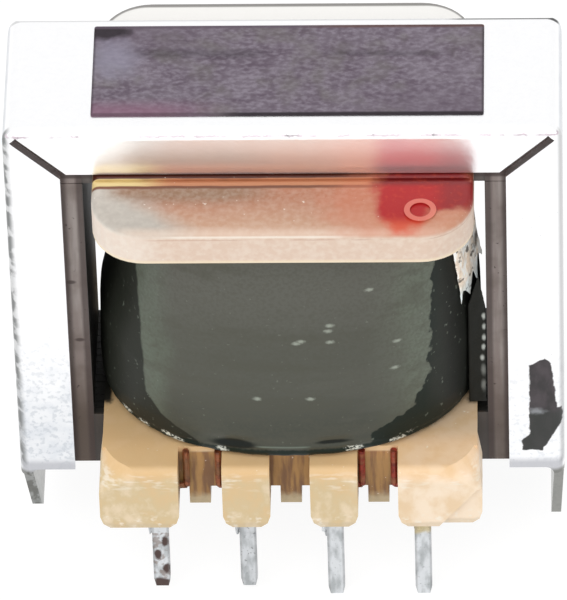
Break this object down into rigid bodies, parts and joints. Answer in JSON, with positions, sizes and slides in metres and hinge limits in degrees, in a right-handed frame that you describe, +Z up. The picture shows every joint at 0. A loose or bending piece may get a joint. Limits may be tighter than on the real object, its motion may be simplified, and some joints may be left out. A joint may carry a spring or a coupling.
{
  "type": "pcb transformer",
  "caption": "Small mains-type transformer for a circuit board: laminated EI core in a folded steel channel frame, taped coil on a plastic pin bobbin.",
  "frame": {"origin": "centre of the pin pattern, in the plane of the circuit board that the standoffs rest on", "axes": "+Z up from the circuit board, +X along the core's width and the rows of pins, -Y towards the row of pins with the two trimmed ones"},
  "size_m": [0.0312, 0.0193, 0.0323],
  "materials": {
    "frame_steel": "bright tinned sheet",
    "core_steel": "dark oxide",
    "bobbin_nylon": "cream moulded nylon, satin",
    "winding_tape": "glossy dark green polyester tape",
    "clear_film": "crinkled clear film",
    "inner_tape": "pale yellow tape",
    "copper_winding": "enamelled copper wire",
    "lead_copper": "varnished copper wire",
    "lead_red": "red enamelled wire",
    "pin_tin": "dull tinned",
    "label_film": "dark grey-violet, mottled, bare",
    "wedge_paper": "pressed insulating paper"
  },
  "bodies": {
    "root": {"frame_shroud": "frame_steel", "bobbin": "bobbin_nylon", "top_label": "label_film", "core_wedge": "wedge_paper", "primary_winding": "copper_winding", "inner_tape": "inner_tape", "secondary_winding": "copper_winding", "outer_tape": "winding_tape", "film_tail": "clear_film", "pin_1": "pin_tin", "pin_2": "pin_tin", "pin_3": "pin_tin", "pin_4": "pin_tin", "pin_5": "pin_tin", "pin_6": "pin_tin", "pin_7": "pin_tin", "pin_8": "pin_tin", "lead_wire_1": "lead_copper", "lead_wire_2": "lead_copper", "lead_wire_3": "lead_red", "lead_wire_4": "lead_red", "lead_wire_5": "lead_copper", "lead_wire_6": "lead_copper", "lead_wire_7": "lead_red", "lead_wire_8": "lead_red", "e_lamination_01": "core_steel", "e_lamination_02": "core_steel", "e_lamination_03": "core_steel", "e_lamination_04": "core_steel", "e_lamination_05": "core_steel", "e_lamination_06": "core_steel", "e_lamination_07": "core_steel", "e_lamination_08": "core_steel", "e_lamination_09": "core_steel", "e_lamination_10": "core_steel", "e_lamination_11": "core_steel", "e_lamination_12": "core_steel", "e_lamination_13": "core_steel", "e_lamination_14": "core_steel", "e_lamination_15": "core_steel", "e_lamination_16": "core_steel", "i_lamination_01": "core_steel", "i_lamination_02": "core_steel", "i_lamination_03": "core_steel", "i_lamination_04": "core_steel", "i_lamination_05": "core_steel", "i_lamination_06": "core_steel", "i_lamination_07": "core_steel", "i_lamination_08": "core_steel", "i_lamination_09": "core_steel", "i_lamination_10": "core_steel", "i_lamination_11": "core_steel", "i_lamination_12": "core_steel", "i_lamination_13": "core_steel", "i_lamination_14": "core_steel", "i_lamination_15": "core_steel", "i_lamination_16": "core_steel"}
  },
  "joints": []
}
